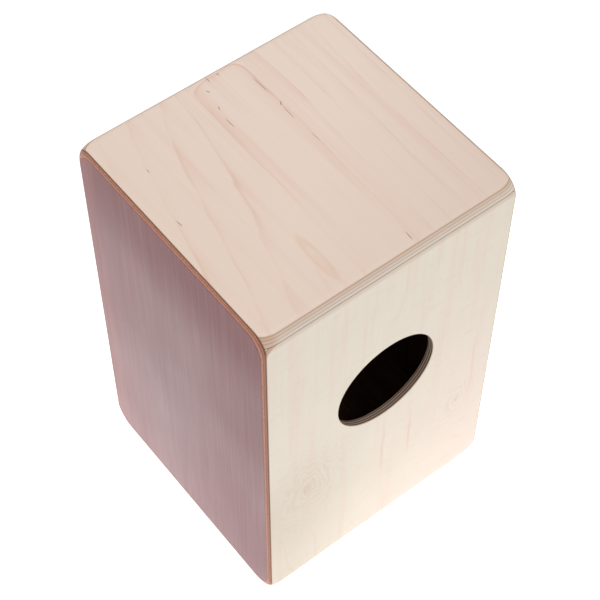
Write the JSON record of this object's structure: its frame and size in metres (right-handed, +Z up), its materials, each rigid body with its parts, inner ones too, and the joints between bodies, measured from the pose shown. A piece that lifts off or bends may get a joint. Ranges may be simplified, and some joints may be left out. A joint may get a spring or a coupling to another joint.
{
  "type": "snare cajon",
  "caption": "Box drum that is sat on: birch plywood shell with rounded corners, mauve playing face, round sound hole in the side, removable snare unit inside.",
  "frame": {"origin": "middle of the footprint, on the surface the drum stands on", "axes": "+Z up, the played front plate faces -Y, the sound hole is in the right side, +X"},
  "size_m": [0.298, 0.306, 0.5],
  "materials": {
    "playing_face": "mauve stained veneer under satin lacquer, natural ply edge",
    "seat_birch": "pinkish birch veneer, matt varnish",
    "shell_birch": "pale birch plywood, matt varnish, layered edges",
    "batten_wood": "planed softwood, unfinished",
    "bar_beech": "planed beech, unfinished",
    "foot_rubber": "matt black rubber",
    "screw_steel": "zinc plated",
    "wire_steel": "bright coiled steel wire",
    "pad_fabric": "black hook-and-loop fabric"
  },
  "bodies": {
    "box": {"front_plate": "playing_face", "seat_panel": "seat_birch", "back_panel": "shell_birch", "left_side_panel": "shell_birch", "right_side_panel": "shell_birch", "base_panel": "shell_birch", "corner_batten_top_left": "batten_wood", "corner_batten_top_right": "batten_wood", "corner_batten_bottom_left": "batten_wood", "corner_batten_bottom_right": "batten_wood", "rubber_foot_front_left": "foot_rubber", "foot_screw_front_left": "screw_steel", "rubber_foot_front_right": "foot_rubber", "foot_screw_front_right": "screw_steel", "rubber_foot_back_left": "foot_rubber", "foot_screw_back_left": "screw_steel", "rubber_foot_back_right": "foot_rubber", "foot_screw_back_right": "screw_steel", "bar_holder_left": "bar_beech", "hook_pad_left": "pad_fabric", "bar_holder_right": "bar_beech", "hook_pad_right": "pad_fabric"},
    "snare_unit": {"snare_bar": "bar_beech", "snare_wires_left": "wire_steel", "snare_wires_right": "wire_steel", "snare_clamp_left": "screw_steel", "snare_clamp_right": "screw_steel", "clamp_screw_left_a": "screw_steel", "clamp_screw_left_b": "screw_steel", "clamp_screw_right_a": "screw_steel", "clamp_screw_right_b": "screw_steel", "loop_pad_left": "pad_fabric", "loop_pad_right": "pad_fabric"}
  },
  "joints": [
    {"name": "snare_unit_pull_off", "type": "slide", "parent": "box", "child": "snare_unit", "axis": [0, 1, 0], "range_m": [0, 0.1]}
  ]
}
